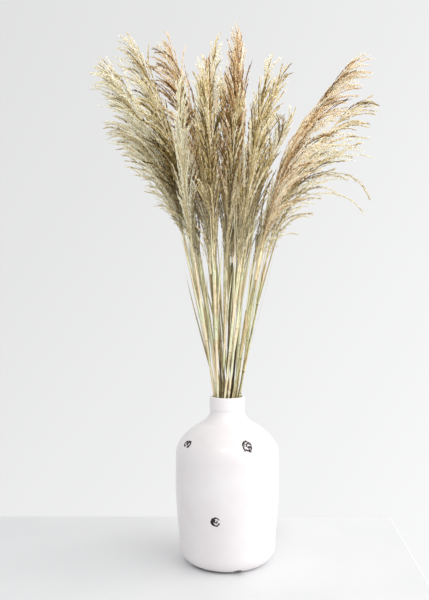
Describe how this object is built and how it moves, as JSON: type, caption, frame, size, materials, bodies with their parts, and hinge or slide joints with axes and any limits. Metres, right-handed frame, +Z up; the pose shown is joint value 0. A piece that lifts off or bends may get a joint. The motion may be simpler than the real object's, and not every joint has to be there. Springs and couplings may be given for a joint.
{
  "type": "flower vase with dried grasses",
  "caption": "Glazed ceramic bottle vase with a narrow collared mouth and worn chips, holding a loose spread of tall dried grass stems with feathery plumes.",
  "frame": {"origin": "centre of the vase's flat foot", "axes": "+Z up along the vase's axis, +X to the viewer's right and +Y away from the viewer"},
  "size_m": [0.4614, 0.3167, 0.9254],
  "materials": {
    "glaze": "gloss",
    "culm": "satin",
    "plume_cream": "matte",
    "plume_straw": "matte",
    "plume_olive": "matte",
    "plume_russet": "matte"
  },
  "bodies": {
    "vase": {"vase": "glaze"},
    "stem_01": {"culm_01": "culm", "plume_01": "plume_cream"},
    "stem_02": {"culm_02": "culm", "plume_02": "plume_straw"},
    "stem_03": {"culm_03": "culm", "plume_03": "plume_olive"},
    "stem_04": {"culm_04": "culm", "plume_04": "plume_olive"},
    "stem_05": {"culm_05": "culm", "plume_05": "plume_olive"},
    "stem_06": {"culm_06": "culm", "plume_06": "plume_straw"},
    "stem_07": {"culm_07": "culm", "plume_07": "plume_russet"},
    "stem_08": {"culm_08": "culm", "plume_08": "plume_straw"},
    "stem_09": {"culm_09": "culm", "plume_09": "plume_straw"},
    "stem_10": {"culm_10": "culm", "plume_10": "plume_cream"},
    "stem_11": {"culm_11": "culm", "plume_11": "plume_olive"},
    "stem_12": {"culm_12": "culm", "plume_12": "plume_straw"},
    "stem_13": {"culm_13": "culm", "plume_13": "plume_russet"},
    "stem_14": {"culm_14": "culm", "plume_14": "plume_olive"},
    "stem_15": {"culm_15": "culm", "plume_15": "plume_straw"},
    "stem_16": {"culm_16": "culm", "plume_16": "plume_olive"},
    "stem_17": {"culm_17": "culm", "plume_17": "plume_cream"},
    "stem_18": {"culm_18": "culm", "plume_18": "plume_olive"},
    "stem_19": {"culm_19": "culm", "plume_19": "plume_straw"},
    "stem_20": {"culm_20": "culm", "plume_20": "plume_cream"},
    "stem_21": {"culm_21": "culm", "plume_21": "plume_russet"},
    "stem_22": {"culm_22": "culm", "plume_22": "plume_straw"},
    "stem_23": {"culm_23": "culm", "plume_23": "plume_russet"},
    "stem_24": {"culm_24": "culm", "plume_24": "plume_olive"},
    "stem_25": {"culm_25": "culm", "plume_25": "plume_russet"}
  },
  "joints": [
    {"name": "lift_01", "type": "slide", "parent": "vase", "child": "stem_01", "axis": [-0.2015, -0.0362, 0.9788], "range_m": [0, 0.3]},
    {"name": "lift_02", "type": "slide", "parent": "vase", "child": "stem_02", "axis": [-0.1844, 0.0892, 0.9788], "range_m": [0, 0.3]},
    {"name": "lift_03", "type": "slide", "parent": "vase", "child": "stem_03", "axis": [-0.0967, 0.1805, 0.9788], "range_m": [0, 0.3]},
    {"name": "lift_04", "type": "slide", "parent": "vase", "child": "stem_04", "axis": [0.0278, 0.2029, 0.9788], "range_m": [0, 0.3]},
    {"name": "lift_05", "type": "slide", "parent": "vase", "child": "stem_05", "axis": [0.1418, 0.1478, 0.9788], "range_m": [0, 0.3]},
    {"name": "lift_06", "type": "slide", "parent": "vase", "child": "stem_06", "axis": [0.2015, 0.0362, 0.9788], "range_m": [0, 0.3]},
    {"name": "lift_07", "type": "slide", "parent": "vase", "child": "stem_07", "axis": [0.1844, -0.0892, 0.9788], "range_m": [0, 0.3]},
    {"name": "lift_08", "type": "slide", "parent": "vase", "child": "stem_08", "axis": [0.0967, -0.1805, 0.9788], "range_m": [0, 0.3]},
    {"name": "lift_09", "type": "slide", "parent": "vase", "child": "stem_09", "axis": [-0.0278, -0.2029, 0.9788], "range_m": [0, 0.3]},
    {"name": "lift_10", "type": "slide", "parent": "vase", "child": "stem_10", "axis": [-0.1418, -0.1478, 0.9788], "range_m": [0, 0.3]},
    {"name": "lift_11", "type": "slide", "parent": "vase", "child": "stem_11", "axis": [-0.1323, -0.0709, 0.9887], "range_m": [0, 0.3]},
    {"name": "lift_12", "type": "slide", "parent": "vase", "child": "stem_12", "axis": [-0.1487, 0.0204, 0.9887], "range_m": [0, 0.3]},
    {"name": "lift_13", "type": "slide", "parent": "vase", "child": "stem_13", "axis": [-0.1083, 0.1039, 0.9887], "range_m": [0, 0.3]},
    {"name": "lift_14", "type": "slide", "parent": "vase", "child": "stem_14", "axis": [-0.0266, 0.1477, 0.9887], "range_m": [0, 0.3]},
    {"name": "lift_15", "type": "slide", "parent": "vase", "child": "stem_15", "axis": [0.0653, 0.1351, 0.9887], "range_m": [0, 0.3]},
    {"name": "lift_16", "type": "slide", "parent": "vase", "child": "stem_16", "axis": [0.1323, 0.0709, 0.9887], "range_m": [0, 0.3]},
    {"name": "lift_17", "type": "slide", "parent": "vase", "child": "stem_17", "axis": [0.1487, -0.0204, 0.9887], "range_m": [0, 0.3]},
    {"name": "lift_18", "type": "slide", "parent": "vase", "child": "stem_18", "axis": [0.1083, -0.1039, 0.9887], "range_m": [0, 0.3]},
    {"name": "lift_19", "type": "slide", "parent": "vase", "child": "stem_19", "axis": [0.0266, -0.1477, 0.9887], "range_m": [0, 0.3]},
    {"name": "lift_20", "type": "slide", "parent": "vase", "child": "stem_20", "axis": [-0.0653, -0.1351, 0.9887], "range_m": [0, 0.3]},
    {"name": "lift_21", "type": "slide", "parent": "vase", "child": "stem_21", "axis": [-0.0604, -0.063, 0.9962], "range_m": [0, 0.3]},
    {"name": "lift_22", "type": "slide", "parent": "vase", "child": "stem_22", "axis": [-0.0785, 0.038, 0.9962], "range_m": [0, 0.3]},
    {"name": "lift_23", "type": "slide", "parent": "vase", "child": "stem_23", "axis": [0.0119, 0.0864, 0.9962], "range_m": [0, 0.3]},
    {"name": "lift_24", "type": "slide", "parent": "vase", "child": "stem_24", "axis": [0.0859, 0.0154, 0.9962], "range_m": [0, 0.3]},
    {"name": "lift_25", "type": "slide", "parent": "vase", "child": "stem_25", "axis": [0.0412, -0.0769, 0.9962], "range_m": [0, 0.3]}
  ]
}
